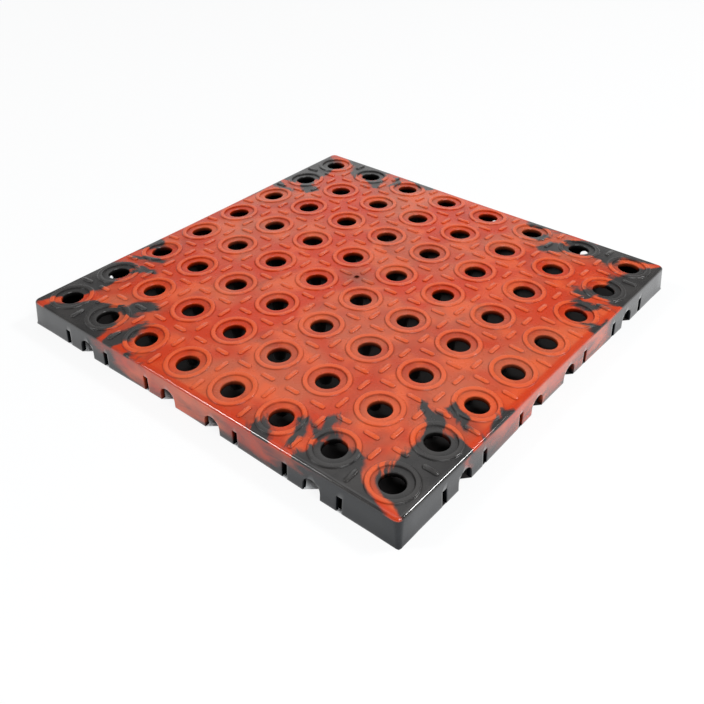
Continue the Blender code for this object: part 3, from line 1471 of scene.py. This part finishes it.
@dataclass
class GateMark:
    """Small scar in the middle of the deck where the compound entered the mould."""

    outline: Outline
    finish: bpy.types.Material
    sides: int = 20
    profile: tuple[Ring, ...] = (
        (0.0030, -0.0004), (0.0027, 0.00018), (0.0021, 0.00034), (0.0017, 0.00026), (0.0014, 0.00008),
        (0.0004, 0.00006),
    )
    pit_radius: float = 0.0019
    # Painted shade darkens the pit nearly to black; the ring round it is darkened less.
    pit_painted_shade: float = 1.7
    ring_darkening: float = 0.7

    def build(self) -> bpy.types.Object:
        """Sets the scar on the crown and dresses it.

        Returns:
            The piece.
        """
        mesh = lathe("gate_mark", self.profile, self.sides)
        relief = mesh.attributes.new(PAINTED_LIGHT, "FLOAT", "POINT")
        for vert, shade in zip(mesh.vertices, relief.data):
            in_pit = vert.co.xy.length < self.pit_radius
            shade.value = -self.pit_painted_shade if in_pit else -self.ring_darkening
        top = self.outline.edge_height + self.outline.crown_rise
        mesh.transform(Matrix.Translation((0.0, 0.0, top)))
        return add_piece("gate_mark", mesh, self.finish, [], smooth_angle=60.0)


@dataclass(frozen=True)
class Lamp:
    """One soft lamp, aimed at the middle of the mat."""

    name: str
    place: Triple
    size: tuple[float, float]
    power: float


@dataclass
class Studio:
    """Pale floor, soft light and a camera at the photograph's viewing angle."""

    outline: Outline
    arch_half: float
    # Camera
    camera_place: Triple = (0.40552, -0.48852, 0.42047)
    camera_target: Triple = (0.06396, -0.08326, 0.0254)
    camera_roll: float = -0.00774
    focal_pixels: float = 841.17
    picture_pixels: float = 704.0
    sensor: float = 36.0
    nearest_seen: float = 0.01
    # Floor, and the painted shadow where the mat covers it
    floor_half: float = 40.0
    floor_glow: float = 0.86
    open_floor: Colour = (0.88, 0.90, 0.92)
    painted_shadow_floor: Colour = (0.038, 0.036, 0.036)
    cover_spread: float = 0.0043
    cover_limit: float = 0.2000
    cover_fade: float = 0.0004
    painted_light_slant: float = 0.9
    painted_light_reach: float = 0.0120
    shade_reach: float = 0.0120
    # Surroundings and lamps
    front_level: float = 0.24
    back_level: float = 0.26
    room_turn: Step = (-0.6, 0.6)
    panel_level: float = 1.0
    back_bearing: tuple[float, float] = (-0.644, 0.765)
    panel_sides: Step = (0.30, 0.16)
    panel_top: Step = (0.98, 0.90)
    skyline: Step = (0.30, 0.20)
    lamps: tuple[Lamp, ...] = (
        Lamp("left_strip", (-2.28, -2.03, 2.73), (0.80, 0.86), 54.0),
        Lamp("back_strip", (1.15, 1.32, 1.80), (0.50, 0.34), 28.0),
        Lamp("right_fill", (1.15, -0.45, 1.10), (0.80, 0.80), 12.0),
    )

    def build(self) -> None:
        """Sets up everything round the mat."""
        self._floor()
        self._world()
        for lamp in self.lamps:
            self._lamp(lamp)
        self._camera()
        bpy.context.scene.view_settings.view_transform = "Standard"

    @staticmethod
    def _seen(tree: Tree) -> Scalar:
        """Picks out the rays that show the background: straight, mirrored or through glass.

        Args:
            tree: The tree of the floor or the world.

        Returns:
            One for those rays, nothing for the others.
        """
        path = tree.nodes.new("ShaderNodeLightPath")
        seen = Scalar(tree, path.outputs["Is Camera Ray"])
        for kind in ("Is Glossy Ray", "Is Transmission Ray"):
            seen = seen.most(Scalar(tree, path.outputs[kind]))
        return seen

    def _floor(self) -> None:
        """Lays a wide pale floor that keeps the mat's shadow, with a painted shadow under the mat."""
        half = self.floor_half
        corners = [(-half, -half, 0.0), (half, -half, 0.0), (half, half, 0.0), (-half, half, 0.0)]
        mesh = bpy.data.meshes.new("floor")
        mesh.from_pydata(corners, [], [(0, 1, 2, 3)])
        mesh.materials.append(self._floor_finish())
        floor = linked_object("floor", mesh)

    def _floor_finish(self) -> bpy.types.Material:
        """Makes the floor's finish: pale where it is open, a painted shadow under the mat, painted light at
        the arches.

        Returns:
            The material.
        """
        made, plain = new_finish("pale_floor")
        tree = made.node_tree
        tree.nodes.remove(plain)
        x, y, _ = split_place(tree, tree.nodes.new("ShaderNodeTexCoord").outputs["Object"])
        cover = self.outline.middle_half_side
        spread = (abs(x).least(abs(y)) / cover).math("POWER", 2.0) * self.cover_spread
        beyond = abs(x).most(abs(y)) - (spread + cover).least(self.cover_limit) + self._painted_arch_light(x, y)
        # Under the mat the floor takes a painted shadow, except in the painted light at the arches.
        open_floor = beyond.step(-self.cover_fade, self.cover_fade)
        in_front = (y * -1.0 - abs(x)).above(0.0)
        pale = open_floor.most(beyond.step(-self.shade_reach, 0.0) * in_front)
        matt = tree.nodes.new("ShaderNodeBsdfDiffuse")
        feed(tree, matt.inputs["Color"], blend(tree, pale, self.painted_shadow_floor, self.open_floor))
        glow = tree.nodes.new("ShaderNodeEmission")
        mixed = tree.nodes.new("ShaderNodeMixShader")
        share = self._seen(tree) * open_floor * self.floor_glow
        for target, value in zip(mixed.inputs, (share, matt.outputs[0], glow.outputs[0])):
            feed(tree, target, value)
        feed(tree, tree.nodes["Material Output"].inputs["Surface"], mixed.outputs[0])
        return made

    def _painted_arch_light(self, x: Scalar, y: Scalar) -> Scalar:
        """Works out wedges of painted light on the floor under the mat, where light falls in at the arches.

        There is one on every line of holes, and the wall hides those with no arch before them.

        Args:
            x: Place on the floor along X.
            y: Place on the floor along Y.

        Returns:
            How far the painted light reaches in, deeper from one jamb to the other.
        """
        pitch = self.outline.pitch
        lengthwise = (abs(y) - abs(x)).above(0.0)
        along = x * lengthwise + y * (lengthwise - 1.0)
        from_jamb = ((along + self.arch_half) / pitch + 0.5).math("FRACT") * pitch
        in_arch = from_jamb.math("LESS_THAN", 2 * self.arch_half)
        return (from_jamb * self.painted_light_slant).least(self.painted_light_reach) * in_arch

    def _world(self) -> None:
        """Makes pale surroundings, white at the skyline, with a tall white panel behind the mat."""
        world = bpy.data.worlds.new("studio")
        world.use_nodes = True
        bpy.context.scene.world = world
        tree = world.node_tree
        background = tree.nodes["Background"]
        background.inputs["Color"].default_value = (1.0, 1.0, 1.0, 1.0)
        x, y, z = split_place(tree, tree.nodes.new("ShaderNodeTexCoord").outputs["Generated"])
        behind = x * self.back_bearing[0] + y * self.back_bearing[1]
        room = behind.step(*self.room_turn, self.front_level, self.back_level)
        aside = abs(x * self.back_bearing[1] - y * self.back_bearing[0])
        panel = aside.step(*self.panel_sides) * z.step(*self.panel_top) * behind.above(0.0)
        studio = room + panel * (self.panel_level - self.back_level)
        white = z.step(*self.skyline) * self._seen(tree)
        feed(tree, background.inputs["Strength"], studio.most(white))

    def _lamp(self, lamp: Lamp) -> None:
        """Hangs one soft lamp.

        Args:
            lamp: The lamp.
        """
        data = bpy.data.lights.new(lamp.name, "AREA")
        data.shape = "RECTANGLE"
        data.size, data.size_y = lamp.size
        data.energy = lamp.power
        item = linked_object(lamp.name, data)
        item.location = lamp.place
        item.rotation_euler = (-Vector(lamp.place)).to_track_quat("-Z", "Y").to_euler()

    def _camera(self) -> None:
        """Stands the camera where the photograph was taken from."""
        data = bpy.data.cameras.new("camera")
        data.sensor_width = self.sensor
        data.lens = self.focal_pixels / self.picture_pixels * self.sensor
        data.clip_start = self.nearest_seen
        camera = linked_object("camera", data)
        place = Vector(self.camera_place)
        look = (Vector(self.camera_target) - place).to_track_quat("-Z", "Y").to_matrix()
        turned = look @ Matrix.Rotation(self.camera_roll, 3, "Z")
        camera.matrix_world = Matrix.Translation(place) @ turned.to_4x4()
        bpy.context.scene.camera = camera


def main() -> None:
    """Builds the mat and its studio."""
    logging.basicConfig(level=logging.INFO, format="%(name)s: %(message)s")
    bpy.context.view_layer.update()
    outline = Outline()
    marbled = MarbledCompound("marbled_rubber", outline.pitch).material()
    charcoal = CharcoalCompound("charcoal_rubber", outline.pitch).material()
    skirt = Skirt(outline, marbled)
    builders: tuple[Callable[[], object], ...] = (
        Deck(outline, marbled).build,
        skirt.build,
        TreadBars(outline, marbled).build,
        SupportFeet(outline, charcoal).build,
        GateMark(outline, marbled).build,
        Studio(outline, skirt.arch_width / 2).build,
    )
    for build in builders:
        build()


if __name__ == "__main__":
    main()
